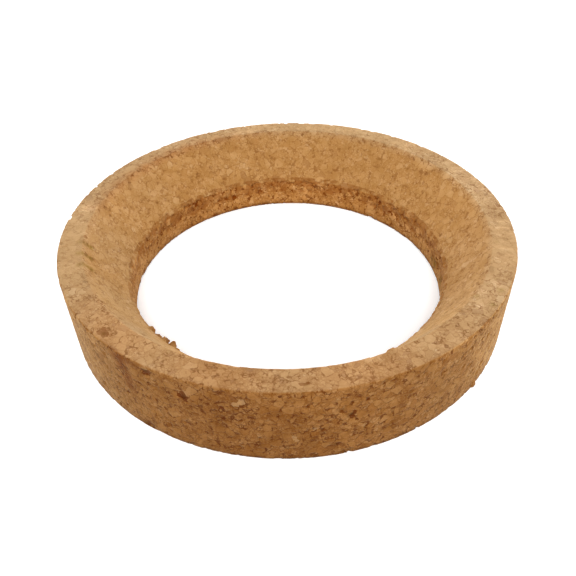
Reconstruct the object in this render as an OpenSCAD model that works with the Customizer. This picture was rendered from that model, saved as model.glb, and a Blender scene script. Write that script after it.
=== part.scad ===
// Cork ring: a ring of pressed cork granules, turned to shape, that stands a round-bottomed
// flask upright on a bench. The flask's belly rests on the cone or its crest, and its lowest
// part hangs in the throat. Sizes are in millimetres. The origin is the centre of the base, +Z up.

/* [Ring] */
// Outer diameter of the plain cylindrical wall
outer_d = 160; // [150:1:200]
// Height from the base to the rim
height = 30; // [22:1:45]

/* [Seat] */
// Width of the flat rim round the top of the cone
rim_w = 8.5; // [4:0.5:12]
// Diameter of the cylindrical throat under the cone
throat_d = 116; // [90:1:124]
// Height of the throat, from the base to the foot of the cone
throat_h = 12; // [6:0.5:18]

/* [Sanded edges] */
// Radius of the edge between the outer wall and the rim
rim_edge_r = 0.8; // [0.4:0.1:2]
// Radius of the crest, where the rim turns down into the cone
crest_r = 0.8; // [0.4:0.1:2]
// Radius of the arris between the cone and the throat
arris_r = 1.2; // [0.4:0.1:3]
// Radius of the base's outer and inner edges
base_edge_r = 0.8; // [0.4:0.1:2]

/* [Hidden] */

outer_r = outer_d / 2;
throat_r = throat_d / 2;
crest_x = outer_r - rim_w;

// Corners of the cross-section, anticlockwise from the throat's foot.
// Each is [distance from the axis, height, radius of the sanded edge].
section = [
    [throat_r, 0, base_edge_r],
    [outer_r, 0, base_edge_r],
    [outer_r, height, rim_edge_r],
    [crest_x, height, crest_r],
    [throat_r, throat_h, arris_r],
];

turned_fn = 240; // segments round the axis
edge_fn = 48;    // segments round a sanded edge

function point(corner) = [corner[0], corner[1]];
function edge_radius(corner) = corner[2];
function neighbour(corners, i, step) = corners[(i + step + len(corners)) % len(corners)];
function direction(from, to) = (point(to) - point(from)) / norm(point(to) - point(from));

// Directions from corner i to the corners before and after it
function ways(corners, i) = [
    for (step = [-1, 1]) direction(corners[i], neighbour(corners, i, step))
];

// Half of the angle that the material fills at corner i
function half_angle(corners, i) =
    let (both = ways(corners, i))
    acos(both[0] * both[1]) / 2;

// Centre of the circle that rounds corner i
function edge_centre(corners, i) =
    let (both = ways(corners, i), middle = both[0] + both[1])
    point(corners[i])
        + middle / norm(middle) * edge_radius(corners[i]) / sin(half_angle(corners, i));

// The two points where that circle meets the straight sides
function tangent_points(corners, i) =
    let (cut_back = edge_radius(corners[i]) / tan(half_angle(corners, i)))
    [for (way = ways(corners, i)) point(corners[i]) + way * cut_back];

// A convex outline with a round of its own radius on every corner
module rounded_outline(corners) {
    polygon([for (i = [0 : len(corners) - 1]) each tangent_points(corners, i)]);
    for (i = [0 : len(corners) - 1])
        translate(edge_centre(corners, i))
            circle(edge_radius(corners[i]), $fn = edge_fn);
}

module cork_ring() {
    color([0.79, 0.61, 0.40])
        rotate_extrude($fn = turned_fn)
            rounded_outline(section);
}

cork_ring();
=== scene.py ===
"""Cork ring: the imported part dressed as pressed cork, on a white floor under soft studio light."""
import math

import bpy
import numpy as np
from mathutils import Matrix, Vector


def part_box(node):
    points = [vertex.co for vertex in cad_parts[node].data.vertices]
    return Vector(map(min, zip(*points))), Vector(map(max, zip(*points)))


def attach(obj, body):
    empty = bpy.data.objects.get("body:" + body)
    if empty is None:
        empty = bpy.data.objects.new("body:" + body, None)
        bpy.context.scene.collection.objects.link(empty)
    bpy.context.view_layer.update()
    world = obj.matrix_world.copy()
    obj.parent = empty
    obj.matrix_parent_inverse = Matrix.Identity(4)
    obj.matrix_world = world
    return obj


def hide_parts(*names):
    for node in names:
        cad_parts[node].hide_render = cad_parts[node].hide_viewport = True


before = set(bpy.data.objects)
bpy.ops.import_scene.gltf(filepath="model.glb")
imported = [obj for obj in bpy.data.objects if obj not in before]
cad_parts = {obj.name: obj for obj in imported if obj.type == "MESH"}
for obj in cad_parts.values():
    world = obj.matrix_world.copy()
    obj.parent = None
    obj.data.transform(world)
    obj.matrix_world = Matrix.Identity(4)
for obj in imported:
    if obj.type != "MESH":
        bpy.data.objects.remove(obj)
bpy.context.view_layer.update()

# ---------------------------------------------------------------- sizes, in metres

MM = 0.001
FAR_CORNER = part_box("cork_ring")[1]
OUTER_R = FAR_CORNER.x
HEIGHT = FAR_CORNER.z
THROAT_R = 58 * MM
CREST_R = 71.5 * MM
THROAT_H = 12 * MM
EDGE_R = 0.8 * MM
ARRIS_R = 1.2 * MM

# Corners of the section, anticlockwise from the throat's foot:
# [distance from the axis, height, radius of the sanded edge, spacing of the rows on the side after it]
SECTION = [
    [THROAT_R, 0, EDGE_R, 2.2 * MM],
    [OUTER_R, 0, EDGE_R, 0.64 * MM],
    [OUTER_R, HEIGHT, EDGE_R, 0.6 * MM],
    [CREST_R, HEIGHT, EDGE_R, 0.62 * MM],
    [THROAT_R, THROAT_H, ARRIS_R, 0.64 * MM],
]
EDGE_ROWS = 4  # steps round a sanded edge
COLUMNS = 720  # steps round the axis


# ---------------------------------------------------------------- colours

def colour(red, green, blue):
    """A colour written as 0 to 255, as the linear RGBA that Blender takes."""
    def linear(share):
        return share / 12.92 if share <= 0.04045 else ((share + 0.055) / 1.055) ** 2.4
    return tuple(linear(value / 255) for value in (red, green, blue)) + (1,)


WHITE = (1, 1, 1, 1)


# ---------------------------------------------------------------- helpers

class Nodes:
    """Adds nodes to a shader or geometry tree: add gives the node, and the others give its outputs."""

    def __init__(self, tree):
        self.tree = tree

    def add(self, kind, inputs=(), **settings):
        node = self.tree.nodes.new(kind)
        for name, value in settings.items():
            setattr(node, name, value)
        for key, value in dict(inputs).items():
            self.plug(value, node.inputs[key])
        return node

    def plug(self, value, socket):
        if isinstance(value, bpy.types.NodeSocket):
            self.tree.links.new(value, socket)
        else:
            socket.default_value = value

    def math(self, operation, first, second=0.0):
        return self.add("ShaderNodeMath", {0: first, 1: second}, operation=operation).outputs[0]

    def times(self, product, *factors):
        for factor in factors:
            product = self.math("MULTIPLY", product, factor)
        return product

    def total(self, amount, *parts):
        for part in parts:
            amount = self.math("ADD", amount, part)
        return amount

    def most(self, first, second):
        return self.math("MAXIMUM", first, second)

    def rest(self, share):
        """What a share leaves of 1."""
        return self.math("SUBTRACT", 1.0, share)

    def pick(self, where, this, other):
        """this where where is 1, other where it is 0."""
        return self.total(self.times(where, this), self.times(self.rest(where), other))

    def between(self, value, low, high, to_low=0.0, to_high=1.0):
        """Smooth step, from to_low where the value is at low to to_high where it is at high."""
        inputs = {"Value": value, "From Min": low, "From Max": high, "To Min": to_low, "To Max": to_high}
        return self.add("ShaderNodeMapRange", inputs, interpolation_type="SMOOTHSTEP").outputs[0]

    def vector(self, operation, inputs):
        return self.add("ShaderNodeVectorMath", inputs, operation=operation).outputs

    def scaled(self, vector, factor):
        return self.vector("SCALE", {0: vector, "Scale": factor})[0]

    def shifted(self, place, vector, factor):
        """The place, moved by a vector times a factor."""
        return self.vector("ADD", {0: place, 1: self.scaled(vector, factor)})[0]

    def distance(self, first, second):
        return self.vector("DISTANCE", {0: first, 1: second})["Value"]

    def split(self, vector):
        return self.add("ShaderNodeSeparateXYZ", {0: vector}).outputs

    def join(self, x, y, z):
        return self.add("ShaderNodeCombineXYZ", {0: x, 1: y, 2: z}).outputs[0]

    def noise(self, place, size, detail=2.0, roughness=0.5):
        inputs = {"Vector": place, "Scale": 1 / size, "Detail": detail, "Roughness": roughness}
        return self.add("ShaderNodeTexNoise", inputs).outputs

    def cells(self, place, size, feature="F1"):
        inputs = {"Vector": place, "Scale": 1 / size}
        return self.add("ShaderNodeTexVoronoi", inputs, feature=feature).outputs

    def to_seam(self, place, size):
        """Distance to the nearest seam between cells of this size."""
        return self.times(self.cells(place, size, "DISTANCE_TO_EDGE")["Distance"], size)

    def mix(self, factor, first, second, blend="MIX"):
        inputs = {0: factor, 6: first, 7: second}
        return self.add("ShaderNodeMix", inputs, data_type="RGBA", blend_type=blend).outputs[2]

    def layered(self, tint, layers, blend="MIX"):
        """The tint with layers mixed in or multiplied on in turn, each (how much of it, colour)."""
        for amount, own in layers:
            tint = self.mix(amount, tint, own, blend)
        return tint

    def ramp(self, value, stops):
        node = self.add("ShaderNodeValToRGB", {0: value})
        elements = node.color_ramp.elements
        while len(elements) < len(stops):
            elements.new(0.5)
        for element, (place, tint) in zip(elements, stops):
            element.position = place
            element.color = tint
        return node.outputs[0]


def emptied(owner):
    """The nodes of a material or world, with none in it yet."""
    owner.use_nodes = True
    owner.node_tree.nodes.clear()
    return Nodes(owner.node_tree)


def placed(name, data):
    """A new object in the scene, made of this mesh, lamp or camera."""
    thing = bpy.data.objects.new(name, data)
    bpy.context.scene.collection.objects.link(thing)
    return thing


# ---------------------------------------------------------------- chips and places, listed one by one

# Chips that stand out as darker or paler than the rest:
# [azimuth in degrees, distance from the axis, height, reach in millimetres]
DARK_CHIPS = [
    [240, 80, 27.6, 1.7], [248, 80, 23.5, 1.3], [248.5, 80, 22, 1.3], [225.6, 77.6, 30, 1.7],
    [222.2, 58, 12.4, 1.5], [225.8, 58, 12.6, 1.6], [229.2, 58, 12.8, 1.7],
    [282, 80, 18, 1.3], [237, 80, 2, 1.3], [279.5, 80, 5, 1.1], [256.5, 80, 21.5, 0.9],
    [273, 77, 30, 1.1], [226.5, 78, 30, 1.2], [5, 78, 30, 1.1],
    [187.8, 70.4, 28.6, 0.9], [192.6, 70.4, 28.6, 0.9], [185, 70.6, 29, 0.8], [161, 70.8, 29, 0.9],
    [154.5, 62, 17.3, 1], [115.5, 61.2, 16.2, 1], [68, 61.8, 17.2, 1.1], [99, 71, 29.4, 0.9],
    [63, 70.6, 28.8, 0.9], [132, 58, 10.5, 1.2], [39, 58, 7.5, 1.1], [113, 58, 6.5, 0.9],
]
PALE_CHIPS = [
    [259, 80, 24.3, 0.9], [260.3, 80, 25.3, 0.9], [275, 80, 13.5, 1], [270.5, 80, 10, 0.8],
    [190.4, 71, 29.4, 0.8],
]

# Small soft places, dark and light: [azimuth, distance, height, reach, strength at the middle]
PITS = [
    [248.2, 80, 22.4, 1.5, 1.0], [239.7, 80, 27.9, 1.5, 1.0], [282, 80, 18.2, 1.4, 1.0],
    [236.2, 80, 1.4, 1.3, 0.8], [279.3, 80, 5.6, 1.2, 0.7], [226.1, 77.6, 30, 1.4, 0.5],
    [273.1, 77.3, 30, 1.3, 0.3], [347.3, 73.1, 30, 1.8, 0.3], [331.6, 75.2, 30, 1.5, 0.25],
    [327.8, 77.6, 30, 1.9, 0.5], [322.9, 72, 30, 1.8, 0.35], [322.1, 77.8, 30, 1.9, 0.4],
    [354, 58, 4.6, 4.2, 1.0], [5, 58, 4.4, 3.8, 1.0], [8, 58, 4.2, 3, 0.8],
]
LIGHT_SPOTS = [
    [350.4, 74, 30, 2.6, 0.5], [344.3, 75.4, 30, 2.2, 0.25], [340.1, 73.2, 30, 2.4, 0.3],
    [330.4, 72.4, 30, 2.3, 0.4], [329.6, 75.6, 30, 2.4, 0.6], [325.1, 72.7, 30, 2.6, 0.5],
    [319.9, 75.3, 30, 2.2, 0.4],
]

# Marks that the cutter left across the crest at the left, each a row of dark places
CUTTER_MARKS = [
    [azimuth, distance, height, 2.1, strength]
    for azimuth, strength in [(188, 0.75), (193.2, 0.85), (198.4, 0.75)]
    for distance, height in [(72.5, 30), (71.4, 29.7), (70.4, 28.5), (69.3, 27.1)]
]

# Broader soft places, written the same way
# Painted shade: the wall darker in the middle of its front
SHADED_FRONT_WALL = [[256, 80, 16, 26, 1.0], [268, 80, 10, 22, 1.0]]
# A darker brown patch on the wall, just under the rim at its front left
DARK_PATCH_WALL = [
    [232.6, 80, 27.4, 5.4, 1.0], [234.6, 80, 28.4, 3.2, 0.7], [238, 80, 28.6, 5, 0.35],
    [232.8, 80, 25, 5, 1.0], [234, 80, 21, 4.6, 0.9], [234.2, 80, 17.5, 4, 0.7],
]
# Painted light: the wall paler towards its left and right ends, most near its top there
PAINTED_LIGHT_WALL = [
    [324, 80, 15, 34, 1.0], [219, 80, 14, 15, 0.5], [212, 80, 27, 14, 0.7], [223, 80, 27, 10, 0.6],
    [336, 80, 29, 16, 0.7], [322, 80, 29, 12, 0.9], [316, 80, 30, 10, 1.0], [310, 80, 30, 12, 0.9],
    [304, 80, 28, 10, 0.6],
]
SMOOTH_RIM = [[190, 76, 30, 40, 1.0], [345, 76, 30, 34, 1.0], [70, 76, 30, 70, 0.8]]
# Painted highlight: places where the rim is painted paler, at its back and right and at the crest's left
HIGHLIGHT_RIM = [
    [20, 76, 30, 34, 0.4], [344, 76, 30, 22, 0.35], [70, 76, 30, 44, 0.35], [171.5, 75, 30, 7, 0.6],
    [182, 75, 30, 24, 0.3], [46, 76, 30, 16, 0.5], [100, 76, 30, 24, 0.42], [353, 76, 30, 14, 0.4],
    [328, 76, 30, 22, 0.18], [197, 76, 30, 12, 0.26], [124, 77, 30, 24, 0.25],
]
# Painted shade: the rim browner and less pale along its front
FRONT_RIM_SHADE = [
    [228, 76, 30, 32, 0.9], [255, 76, 30, 34, 1.0], [285, 76, 30, 34, 1.0], [306, 76, 30, 22, 0.4],
]
BROWN_CREST = [
    [azimuth, 69.5, 27.5, 8.5, strength] for azimuth, strength in [
        (102, 0.3), (108, 0.5), (114, 0.7), (120, 0.9), (126, 1.0), (132, 1.0), (138, 1.0), (144, 1.0),
        (150, 1.0), (156, 0.8), (162, 0.6), (168, 0.4)]
]
# Painted sheen: the cone greyer at its left and paler at its right, where it is seen at a glancing
# angle; painted shade: the cone darker at its front left and right
SHEEN_GREY_CONE = [[208, 66, 20, 30, 1.0], [182, 66, 20, 34, 0.9], [152, 68, 24, 26, 0.5]]
SHEEN_PALE_CONE = [[326, 66, 20, 34, 1.0], [348, 66, 20, 30, 0.7]]
SHADED_CONE = [[229, 70, 28, 20, 1.0], [303, 70, 28, 14, 0.9]]


def on_ring(azimuth, distance, height):
    """A point given by azimuth in degrees, and distance from the axis and height in millimetres."""
    turn = math.radians(azimuth)
    return np.array([distance * math.cos(turn), distance * math.sin(turn), height]) * MM


def among(nodes, centre, chips):
    """1 in a cell whose centre is within reach of one of the chips."""
    found = 0.0
    for azimuth, distance, height, reach in chips:
        away = nodes.distance(centre, on_ring(azimuth, distance, height))
        found = nodes.most(found, nodes.math("LESS_THAN", away, reach * MM))
    return found


def near(nodes, place, spots):
    """From 0 at the reach of the spots up to their strength at their middles."""
    found = 0.0
    for azimuth, distance, height, reach, strength in spots:
        away = nodes.distance(place, on_ring(azimuth, distance, height))
        found = nodes.most(found, nodes.between(away, reach * MM, 0.0, 0.0, strength))
    return found


# ---------------------------------------------------------------- cork, the same in mesh and shader

# Sizes in the pattern
GRANULE = 2.7 * MM
CHIP = 1.3 * MM          # a piece of a crushed granule
FLECK = 2.6 * MM         # a cell that may hold a fleck of bark
PORE = 0.9 * MM          # a cell that may hold a pore
OPENING = 1.7 * MM       # a stretch of seams that gape
TEAR = 3.2 * MM          # a patch of torn granules
WAVE = 1.5 * MM          # the waves that bend the cells
CELL_BEND = 1.3 * MM     # how strongly they bend granules, chips and pores
FLECK_BEND = 2.4 * MM    # and flecks
SEAM_EDGE = 0.26 * MM    # how far a seam's hollow reaches on each side
GAP_EDGE = 0.08 * MM     # and how far a gap stays full on each side

# Shares of the cells
WHOLE_SHARE = 0.3        # of the granules; the rest are crushed to chips
PORE_SHARE = 0.4         # of the pores' cells that hold one

# From where there is none of something to where there is all of it
OPENING_NOISE = [0.52, 0.62]
BARK_CHANCE = [0.86, 0.88]  # by a fleck's random number
BARK_RADIUS = [0.32, 0.24]  # in cells
PORE_RADIUS = [0.26, 0.14]  # in cells
TEAR_NOISE = [0.96, 1.06]
TEAR_WEIGHT = 0.55          # what a full weight adds to that noise

RIM_SANDING = 0.7           # of the cone's; the wall and the throat have none


def cork_grain(nodes, place):
    """The solid pattern that the ring is cut from: granules, their seams, bark chips, gaps and pores."""
    wave_colour = nodes.noise(place, WAVE, detail=3)["Color"]
    wave = nodes.vector("SUBTRACT", {0: wave_colour, 1: (0.5, 0.5, 0.5)})[0]
    bent = nodes.shifted(place, wave, CELL_BEND)
    granule = nodes.split(nodes.cells(bent, GRANULE)["Color"])
    chips = nodes.cells(bent, CHIP)
    chip = nodes.split(chips["Color"])
    crushed = nodes.math("GREATER_THAN", granule[1], WHOLE_SHARE)
    granule_seam = nodes.to_seam(bent, GRANULE)
    either_seam = nodes.math("MINIMUM", granule_seam, nodes.to_seam(bent, CHIP))
    seam = nodes.pick(crushed, either_seam, granule_seam)
    opening = nodes.between(nodes.noise(place, OPENING)[0], *OPENING_NOISE)
    fleck = nodes.cells(nodes.shifted(place, wave, FLECK_BEND), FLECK)
    is_bark = nodes.between(nodes.split(fleck["Color"])[2], *BARK_CHANCE)
    pore = nodes.cells(bent, PORE)
    is_pore = nodes.math("GREATER_THAN", nodes.split(pore["Color"])[0], 1 - PORE_SHARE)
    return {
        "shade": nodes.pick(crushed, chip[0], granule[0]),
        "loose": nodes.pick(crushed, chip[2], granule[2]),
        "seam": seam,
        "gap": nodes.times(opening, nodes.between(seam, SEAM_EDGE, GAP_EDGE)),
        "bark": nodes.times(nodes.between(fleck["Distance"], *BARK_RADIUS), is_bark),
        "pore": nodes.times(nodes.between(pore["Distance"], *PORE_RADIUS), is_pore),
        "dark": among(nodes, chips["Position"], DARK_CHIPS),
        "pale": among(nodes, chips["Position"], PALE_CHIPS),
    }


def torn_patches(nodes, place, weight):
    """Patches where granules are torn out, thick where the weight is 1."""
    ragged = nodes.total(nodes.noise(place, TEAR, detail=3)[0], nodes.times(weight, TEAR_WEIGHT))
    return nodes.between(ragged, *TEAR_NOISE)


def left_by_sanding(nodes, weight, taken):
    """What is left where sanding takes this share on the cone, less on the rim and none elsewhere."""
    sanded = nodes.most(weight("cone"), nodes.times(weight("rim"), RIM_SANDING))
    return nodes.rest(nodes.times(sanded, taken))


# ---------------------------------------------------------------- the ring's mesh

# How much of each face a point belongs to, by the direction its section faces:
# degrees from outward (0 out, 90 up, 180 to the axis), and the weight at each
REGIONS = {
    "wall": ([-70, -20, 20, 70], [0, 1, 1, 0]),
    "rim": ([-160, -110, -70, -20, 20, 70, 105, 130], [0, 1, 1, 0, 0, 1, 1, 0]),
    "cone": ([105, 130, 150, 173], [0, 1, 1, 0]),
    "throat": ([-160, -110, 150, 173], [1, 0, 0, 1]),
}

# Distances over which something fades: [still full, gone]
EDGE_FADE = [0.7 * MM, 2.1 * MM]    # chipped edges, from a corner of the section
RIM_FADE = [0, 3 * MM]              # the rim's colour, from the crest down the cone
FOOT_SHADE_FADE = [0.64 * MM, 2.24 * MM]  # the painted shade at the foot, from the base up
THROAT_FADE = [5 * MM, 9 * MM]      # torn granules, from the arris down the throat
ARRIS_FADE = [0, 3 * MM]            # and from the arris up the cone
THROAT_BAND = 1 * MM                # points this near the throat's radius are the throat's
RIM_ON_CONE = 0.7                   # how much of the rim's colour the cone's top takes
BASE_BAND = 2 * MM                  # up to this height the edges are less chipped
BASE_CHIPPING = 0.4

# Crumbs that stand proud, each some lumps grown together:
# [azimuth, distance from the axis, height, radius, rise]
CRUMBS = [
    [218.5, 58.2, 12.2, 1.4, 1.2],
    [222.4, 58.2, 12.1, 1.2, 1.2],
    [226.2, 58.0, 12.3, 1.6, 2.0],
    [229.4, 58.0, 12.4, 1.6, 2.0],
    [232.0, 58.2, 12.0, 1.1, 0.9],
    [293.8, 71.4, 29.8, 1.4, 1.0],
    [317.5, 80, 0.9, 1.4, 0.9],
]
LUMPS = 10
LUMP_SEED = 11
LUMP_SPREAD = 0.4         # of the crumb's radius
LUMP_RADIUS = (0.3, 0.7)  # of the crumb's radius
LUMP_RISE = (0.5, 1)      # of the crumb's rise

# Depths of the relief
LOW_DEPTH = 0.12 * MM         # the loosest granules, where nothing is sanded
MISSING_DEPTH = 0.45 * MM     # missing granules
CHIPPED_DEPTH = 0.22 * MM     # chips off the edges
SUNKEN_DEPTH = 0.3 * MM       # bark and dark chips
TORN_DEPTH = 0.35 * MM        # torn granules, times their looseness and TORN_LEAST together
TORN_LEAST = 0.3
MISSING_FROM = [0.965, 0.97]  # how loose a granule is when it goes missing: [not yet, in full]
CHIPPED_FROM = [0.74, 0.76]   # and when it is chipped off an edge
RELIEF_TAKEN = 0.6            # the share of the relief that sanding takes off the cone


def outward(way):
    """The outward normal of a side that runs this way."""
    return np.array([way[1], -way[0]])


def fading(distance, full, gone):
    """1 up to the first distance, falling to 0 at the second."""
    return np.clip((gone - distance) / (gone - full), 0, 1)


def section_rows():
    """Points and outward normals round the section, corners rounded, and how near a corner each is."""
    corners = [np.array(corner[:2]) for corner in SECTION]
    count = len(corners)
    sides = [corners[(i + 1) % count] - corners[i] for i in range(count)]
    ways = [side / np.linalg.norm(side) for side in sides]
    turns = [math.acos(np.dot(ways[i - 1], ways[i])) for i in range(count)]
    cuts = [SECTION[i][2] * math.tan(turns[i] / 2) for i in range(count)]
    points, normals = [], []
    for i, (_, _, radius, spacing) in enumerate(SECTION):
        normal_in, normal_out, turn = outward(ways[i - 1]), outward(ways[i]), turns[i]
        centre = corners[i] - ways[i - 1] * cuts[i] - normal_in * radius
        for share in np.linspace(0, 1, EDGE_ROWS + 1):
            blend = math.sin((1 - share) * turn) * normal_in + math.sin(share * turn) * normal_out
            normal = blend / math.sin(turn)
            points.append(centre + normal * radius)
            normals.append(normal)
        start = corners[i] + ways[i] * cuts[i]
        end = corners[(i + 1) % count] - ways[i] * cuts[(i + 1) % count]
        pieces = max(1, round(np.linalg.norm(end - start) / spacing))
        for share in np.arange(1, pieces) / pieces:
            points.append(start + (end - start) * share)
            normals.append(normal_out)
    points, normals = np.array(points), np.array(normals)
    nearest = np.min([np.linalg.norm(points - corner, axis=1) for corner in corners], axis=0)
    return points, normals, fading(nearest, *EDGE_FADE)


def near_arris(points):
    """How much the cutter tears here: full at the arris and in the upper throat, and 0 far from them."""
    away = np.linalg.norm(points - np.array([THROAT_R, THROAT_H]), axis=1)
    in_throat = np.abs(points[:, 0] - THROAT_R) < THROAT_BAND
    return np.where(in_throat, fading(away, *THROAT_FADE), fading(away, *ARRIS_FADE))


def row_weights(points, normals, near_corner):
    """How much each row of points belongs to every face, and how chipped, torn or dark it is."""
    facing = np.degrees(np.arctan2(normals[:, 1], normals[:, 0]))
    weights = {name: np.interp(facing, *steps) for name, steps in REGIONS.items()}
    from_crest = np.linalg.norm(points - np.array([CREST_R, HEIGHT]), axis=1)
    shared = weights["cone"] * fading(from_crest, *RIM_FADE) * RIM_ON_CONE
    weights["cone"] -= shared
    weights["rim"] += shared
    weights["edge"] = near_corner * np.where(points[:, 1] > BASE_BAND, 1, BASE_CHIPPING)
    weights["torn"] = near_arris(points)
    weights["foot"] = fading(points[:, 1], *FOOT_SHADE_FADE)
    return weights


def crumb_rise(places):
    """How far the crumbs push each point out."""
    random = np.random.default_rng(LUMP_SEED)
    rise = np.zeros(len(places))
    for azimuth, distance, height, radius, most in CRUMBS:
        for _ in range(LUMPS):
            centre = on_ring(azimuth, distance, height) + random.normal(0, LUMP_SPREAD * radius * MM, 3)
            size = random.uniform(*LUMP_RADIUS) * radius * MM
            away = np.linalg.norm(places - centre, axis=1) / size
            top = random.uniform(*LUMP_RISE) * most * MM
            rise = np.maximum(rise, top * np.sqrt(np.clip(1 - away ** 2, 0, 1)))
    return rise


def turned(section):
    """Points or normals of the section, carried round the axis column by column."""
    angles = np.linspace(0, 2 * math.pi, COLUMNS, endpoint=False)
    cos, sin, flat = np.cos(angles)[:, None], np.sin(angles)[:, None], np.ones((COLUMNS, 1))
    out, up = section[:, 0], section[:, 1]
    return np.stack([cos * out, sin * out, flat * up], -1).reshape(-1, 3)


def grid_faces(rows):
    """Quads between neighbouring rows and columns, closed both round the section and round the axis."""
    column, row = np.meshgrid(np.arange(COLUMNS), np.arange(rows), indexing="ij")
    next_column, next_row = (column + 1) % COLUMNS, (row + 1) % rows
    return np.stack([column * rows + row, next_column * rows + row,
                     next_column * rows + next_row, column * rows + next_row], -1).reshape(-1, 4)


def ring_mesh():
    """The turned surface with its crumbs, and with the weights of its rows as attributes."""
    points, normals, near_corner = section_rows()
    places = turned(points)
    places += turned(normals) * crumb_rise(places)[:, None]
    places[:, 2] = np.maximum(places[:, 2], 0)
    mesh = bpy.data.meshes.new("cork_ring_mesh")
    mesh.from_pydata(places, [], grid_faces(len(points)))
    for name, weight in row_weights(points, normals, near_corner).items():
        values = np.tile(weight, COLUMNS).astype(np.float32)
        mesh.attributes.new(name, "FLOAT", "POINT").data.foreach_set("value", values)
    mesh.shade_smooth()
    return mesh


def relief_tree():
    """Geometry nodes that push the surface in where granules lie low, are chipped off or are missing."""
    tree = bpy.data.node_groups.new("cork_relief", "GeometryNodeTree")
    tree.interface.new_socket("Geometry", in_out="INPUT", socket_type="NodeSocketGeometry")
    tree.interface.new_socket("Geometry", in_out="OUTPUT", socket_type="NodeSocketGeometry")
    nodes = Nodes(tree)
    before, after = nodes.add("NodeGroupInput"), nodes.add("NodeGroupOutput")
    place = nodes.add("GeometryNodeInputPosition").outputs[0]
    normal = nodes.add("GeometryNodeInputNormal").outputs[0]

    def weight(name):
        node = nodes.add("GeometryNodeInputNamedAttribute", {"Name": name}, data_type="FLOAT")
        return node.outputs["Attribute"]

    grain = cork_grain(nodes, place)
    loose = grain["loose"]
    coarse = left_by_sanding(nodes, weight, RELIEF_TAKEN)
    torn = torn_patches(nodes, place, weight("torn"))
    depth = nodes.total(
        nodes.times(loose, coarse, -LOW_DEPTH),
        nodes.times(coarse, -MISSING_DEPTH, nodes.between(loose, *MISSING_FROM)),
        nodes.times(weight("edge"), -CHIPPED_DEPTH, nodes.between(loose, *CHIPPED_FROM)),
        nodes.times(coarse, -SUNKEN_DEPTH, nodes.most(grain["bark"], grain["dark"])),
        nodes.times(nodes.total(loose, TORN_LEAST), -TORN_DEPTH, torn))
    inputs = {"Geometry": before.outputs[0], "Offset": nodes.scaled(normal, depth)}
    moved = nodes.add("GeometryNodeSetPosition", inputs)
    nodes.plug(moved.outputs[0], after.inputs[0])
    return tree


def build_ring():
    ring = placed("cork_ring_surface", ring_mesh())
    modifier = ring.modifiers.new("relief", "NODES")
    modifier.node_group = relief_tree()
    shaped = ring.evaluated_get(bpy.context.evaluated_depsgraph_get())
    mesh = bpy.data.meshes.new_from_object(shaped)
    ring.modifiers.clear()
    ring.data = mesh
    ring.data.materials.append(cork_material())
    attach(ring, "root")
    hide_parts("cork_ring")


# ---------------------------------------------------------------- the cork's look

GRIT = 0.55 * MM           # grain finer than the chips
BLOTCH = 5.5 * MM          # broad changes of shade
SEAM_LINE = 0.16 * MM      # how far a seam's dark line reaches on each side
STROKE_LENGTH = 9 * MM     # pale sanding strokes across the rim, shown only within its painted highlight
STROKE_WIDTH = 2.2 * MM
STROKE_NOISE = [0.45, 0.6]
GROOVE_WIDTH = 0.5 * MM    # grooves that turning left round the axis
GROOVE_LENGTH = 14 * MM
MARK_DEPTH = 0.05 * MM     # seams, gaps, pores, loose granules and grooves in the bump
GRIT_DEPTH = 0.09 * MM
MARKS_TAKEN = 0.55         # the share of the dark marks that sanding takes off the cone
BUMP_TAKEN = 0.5           # and of the bump
PAINTED_LIGHT_FROM = 0.7           # the wall's weight from which its painted light counts in full

# Colours along a random number or a noise
GRANULE_COLOURS = [
    (0.0, colour(142, 84, 32)), (0.08, colour(179, 122, 60)), (0.35, colour(191, 137, 75)),
    (0.75, colour(203, 152, 93)), (0.93, colour(209, 160, 104)), (1.0, colour(218, 174, 122)),
]
GRIT_COLOURS = [(0.3, colour(152, 94, 40)), (0.7, colour(231, 188, 134))]
GRIT_SHARE = 0.30
BLOTCH_TONES = [(0.35, colour(227, 215, 190)), (0.65, WHITE)]

# A paler tone, for the pale spots at the crest and for the painted highlight on the rim
PALE_TONE = (1.5, 1.62, 1.85, 1)
SHEEN_TINT = (1.0, 0.77, 0.41, 1)


def streaks(nodes, place, across, along):
    """Noise drawn out into streaks, whose sizes are given over the section and round the outer wall."""
    x, y, z = nodes.split(place)
    distance = nodes.math("SQRT", nodes.total(nodes.times(x, x), nodes.times(y, y)))
    section = nodes.math("DIVIDE", nodes.total(distance, z), across)
    spread = nodes.math("DIVIDE", OUTER_R / along, distance)
    stretched = nodes.join(nodes.times(x, spread), nodes.times(y, spread), section)
    return nodes.noise(stretched, 1.0)[0]


def granule_tint(nodes, place, shade, grit):
    """The granules' own colours, with grit in them and broad blotches over them."""
    granules = nodes.ramp(shade, GRANULE_COLOURS)
    tint = nodes.mix(GRIT_SHARE, granules, nodes.ramp(grit, GRIT_COLOURS))
    blotches = nodes.ramp(nodes.noise(place, BLOTCH)[0], BLOTCH_TONES)
    return nodes.mix(1.0, tint, blotches, "MULTIPLY")


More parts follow.
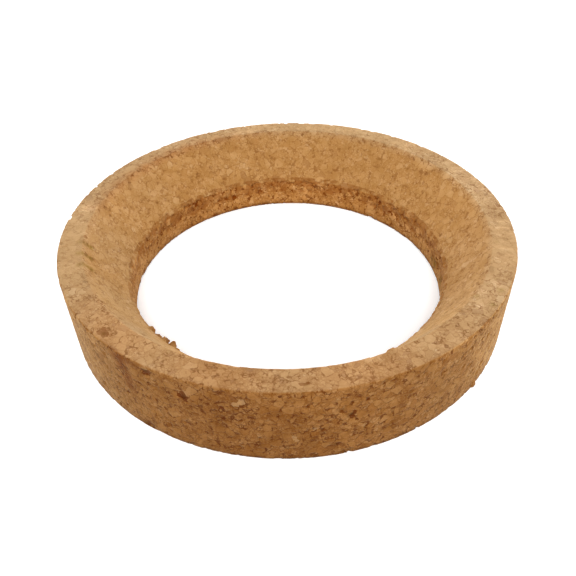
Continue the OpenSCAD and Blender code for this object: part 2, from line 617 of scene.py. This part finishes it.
def marks(nodes, place, grain, weight):
    """What is laid over the granules, in this order: (how much of it, colour)."""
    coarse = left_by_sanding(nodes, weight, MARKS_TAKEN)
    torn = torn_patches(nodes, place, weight("torn"))
    seams = nodes.between(grain["seam"], SEAM_LINE, 0.0)
    return [
        (nodes.times(weight("cone"), 0.38), colour(196, 146, 88)),
        (nodes.times(weight("throat"), 0.3), colour(194, 140, 80)),
        (nodes.times(weight("rim"), 0.38), colour(212, 170, 123)),
        (nodes.times(coarse, 0.5, seams), colour(128, 70, 14)),
        (nodes.times(torn, 0.5), colour(136, 74, 20)),
        (nodes.times(coarse, 0.6, grain["pore"]), colour(122, 62, 10)),
        (nodes.times(coarse, 0.8, grain["gap"]), colour(114, 54, 4)),
        (nodes.times(coarse, 0.85, grain["bark"]), colour(106, 46, 4)),
        (nodes.times(coarse, 0.9, grain["dark"]), colour(120, 56, 4)),
        (nodes.times(grain["pale"], 0.6), colour(236, 200, 152)),
    ]


def spot_tones(nodes, place):
    """What the small soft places multiply the colour by, in this order: (how much of it, tone)."""
    return [
        (near(nodes, place, PITS + CUTTER_MARKS), colour(180, 175, 60)),
        (near(nodes, place, LIGHT_SPOTS), PALE_TONE),
    ]


def face_tones(nodes, place, weight):
    """What the broader places and then the faces multiply the colour by, painted light and shade among
    them: (how much of it, tone).
    """
    rim, cone, wall, throat = weight("rim"), weight("cone"), weight("wall"), weight("throat")
    painted_highlight = nodes.times(near(nodes, place, HIGHLIGHT_RIM), rim)
    strokes = nodes.between(streaks(nodes, place, STROKE_LENGTH, STROKE_WIDTH), *STROKE_NOISE)
    wall_and_edges = nodes.between(wall, 0.0, PAINTED_LIGHT_FROM)
    return [
        # painted shade on the wall's front
        (near(nodes, place, SHADED_FRONT_WALL), colour(230, 222, 210)),
        # the darker brown patch under the rim
        (nodes.times(near(nodes, place, DARK_PATCH_WALL), wall), colour(196, 146, 72)),
        # painted highlight on the rim
        (painted_highlight, PALE_TONE),
        # painted shade along the rim's front
        (nodes.times(near(nodes, place, FRONT_RIM_SHADE), rim), (1.02, 0.90, 0.79, 1)),
        (nodes.times(near(nodes, place, BROWN_CREST), rim), (0.9, 0.60, 0.34, 1)),
        # painted sheen, then painted shade, on the cone
        (nodes.times(near(nodes, place, SHEEN_GREY_CONE), cone), (0.92, 1.02, 1.26, 1)),
        (nodes.times(near(nodes, place, SHEEN_PALE_CONE), cone), (1.10, 1.17, 1.40, 1)),
        (nodes.times(near(nodes, place, SHADED_CONE), cone), (0.73, 0.81, 1.10, 1)),
        # painted light on the wall's ends
        (nodes.times(near(nodes, place, PAINTED_LIGHT_WALL), wall_and_edges), (1.5, 1.62, 1.72, 1)),
        # sanding strokes, paler still, within the painted highlight
        (nodes.times(strokes, painted_highlight), (1.28, 1.30, 1.34, 1)),
        # the wall's tone: partly its own rougher cut, partly painted shade
        (wall, colour(200, 189, 175)),
        # painted shade along the foot
        (nodes.times(weight("foot"), 0.6), colour(150, 120, 70)),
        (throat, colour(247, 243, 234)),
        (cone, colour(237, 240, 241)),
        (rim, colour(223, 233, 246)),
    ]


def cork_tint(nodes, place, grain, grit, weight):
    """The cork's colour all over."""
    smooth = nodes.times(near(nodes, place, SMOOTH_RIM), weight("rim"), 0.55)
    tint = granule_tint(nodes, place, grain["shade"], grit)
    tint = nodes.layered(tint, marks(nodes, place, grain, weight))
    tint = nodes.layered(tint, spot_tones(nodes, place), "MULTIPLY")
    tint = nodes.mix(smooth, tint, colour(187, 139, 86))
    return nodes.layered(tint, face_tones(nodes, place, weight), "MULTIPLY")


def cork_bump(nodes, place, grain, grit, weight):
    """The normal, bent by the relief that is too fine for the mesh."""
    height = nodes.total(
        nodes.between(grain["seam"], 0.0, SEAM_EDGE, -MARK_DEPTH, 0.0),
        nodes.times(grain["gap"], -MARK_DEPTH),
        nodes.times(grain["pore"], -MARK_DEPTH),
        nodes.times(grain["loose"], -MARK_DEPTH),
        nodes.times(grit, GRIT_DEPTH),
        nodes.times(streaks(nodes, place, GROOVE_WIDTH, GROOVE_LENGTH), MARK_DEPTH))
    height = nodes.times(height, left_by_sanding(nodes, weight, BUMP_TAKEN))
    return nodes.add("ShaderNodeBump", {"Height": height, "Strength": 1.0, "Distance": 1.0}).outputs[0]


def cork_material():
    material = bpy.data.materials.new("pressed_cork")
    nodes = emptied(material)
    place = nodes.add("ShaderNodeTexCoord").outputs["Object"]

    def weight(name):
        return nodes.add("ShaderNodeAttribute", attribute_name=name).outputs["Fac"]

    grain = cork_grain(nodes, place)
    grit = nodes.noise(place, GRIT, detail=3, roughness=0.65)[0]
    shader = nodes.add("ShaderNodeBsdfPrincipled", {
        "Base Color": cork_tint(nodes, place, grain, grit, weight),
        "Normal": cork_bump(nodes, place, grain, grit, weight),
        "Roughness": 0.7, "Specular IOR Level": 0.02,
        "Sheen Weight": 0.22, "Sheen Roughness": 0.4, "Sheen Tint": SHEEN_TINT})
    nodes.add("ShaderNodeOutputMaterial", {0: shader.outputs[0]})
    return material


# ---------------------------------------------------------------- studio

CAMERA_PLACE = Vector((0, -184, 154)) * MM
CAMERA_AIM = Vector((0, -20, 15)) * MM
CAMERA_LENS = 38.3        # the one length here that is in millimetres
CAMERA_ROLL = math.radians(-1.45)

# Square soft lamps that face the ring: [name, place, size, power in watts]
LAMPS = [
    ["key_lamp", (0, -0.9, 1.2), 1.0, 22],
    ["front_lamp", (0, -1.4, 0.7), 1.0, 8],
    ["back_left_lamp", (-1.0, 1.0, 0.4), 0.8, 19],
    ["back_right_lamp", (1.0, 1.0, 0.4), 0.8, 25],
]
SKY_LIGHT = 0.03          # the sky's strength for diffuse light; what is looked at is plain white

FLOOR_HALF = 2.0
FLOOR_PAINT = (0.8, 0.8, 0.8, 1)
FLOOR_GLOW = (0.38, 1.0)  # the floor's own light, under the ring and far from it
GLOW_REACH = (0.25, 0.9)  # the distances between which it rises


def seen_directly(nodes):
    """1 for what the camera, a reflection or a clear material looks at, 0 for diffuse light."""
    path = nodes.add("ShaderNodeLightPath").outputs
    seen = nodes.most(path["Is Camera Ray"], path["Is Glossy Ray"])
    return nodes.most(seen, path["Is Transmission Ray"])


def floor_material():
    """White paper that glows to plain white far from the ring, and keeps the ring's shadow near it."""
    material = bpy.data.materials.new("white_floor")
    nodes = emptied(material)
    place = nodes.add("ShaderNodeTexCoord").outputs["Object"]
    far = nodes.between(nodes.distance(place, (0, 0, 0)), *GLOW_REACH)
    glow = nodes.times(seen_directly(nodes), nodes.between(far, 0.0, 1.0, *FLOOR_GLOW))
    paper = nodes.add("ShaderNodeBsdfDiffuse", {"Color": FLOOR_PAINT})
    light = nodes.add("ShaderNodeEmission", {"Color": WHITE, "Strength": glow})
    both = nodes.add("ShaderNodeAddShader", {0: paper.outputs[0], 1: light.outputs[0]})
    nodes.add("ShaderNodeOutputMaterial", {0: both.outputs[0]})
    return material


def add_floor():
    half = FLOOR_HALF
    corners = [(-half, -half, 0), (half, -half, 0), (half, half, 0), (-half, half, 0)]
    mesh = bpy.data.meshes.new("floor")
    mesh.from_pydata(corners, [], [(0, 1, 2, 3)])
    mesh.materials.append(floor_material())
    floor = placed("floor", mesh)


def add_world():
    world = bpy.data.worlds.new("studio")
    bpy.context.scene.world = world
    nodes = emptied(world)
    strength = nodes.total(nodes.times(seen_directly(nodes), 1 - SKY_LIGHT), SKY_LIGHT)
    background = nodes.add("ShaderNodeBackground", {"Color": WHITE, "Strength": strength})
    nodes.add("ShaderNodeOutputWorld", {0: background.outputs[0]})


def add_lamp(name, place, size, watts):
    data = bpy.data.lights.new(name, "AREA")
    data.shape = "SQUARE"
    data.size = size
    data.energy = watts
    lamp = placed(name, data)
    lamp.location = place
    lamp.rotation_euler = (-Vector(place)).to_track_quat("-Z", "Y").to_euler()


def add_camera():
    data = bpy.data.cameras.new("camera")
    data.lens = CAMERA_LENS
    camera = placed("camera", data)
    aimed = (CAMERA_AIM - CAMERA_PLACE).to_track_quat("-Z", "Y").to_matrix()
    rolled = aimed @ Matrix.Rotation(CAMERA_ROLL, 3, "Z")
    camera.matrix_world = Matrix.LocRotScale(CAMERA_PLACE, rolled, None)
    bpy.context.scene.camera = camera


add_camera()
build_ring()
add_floor()
add_world()
for lamp in LAMPS:
    add_lamp(*lamp)
bpy.context.scene.view_settings.view_transform = "Standard"
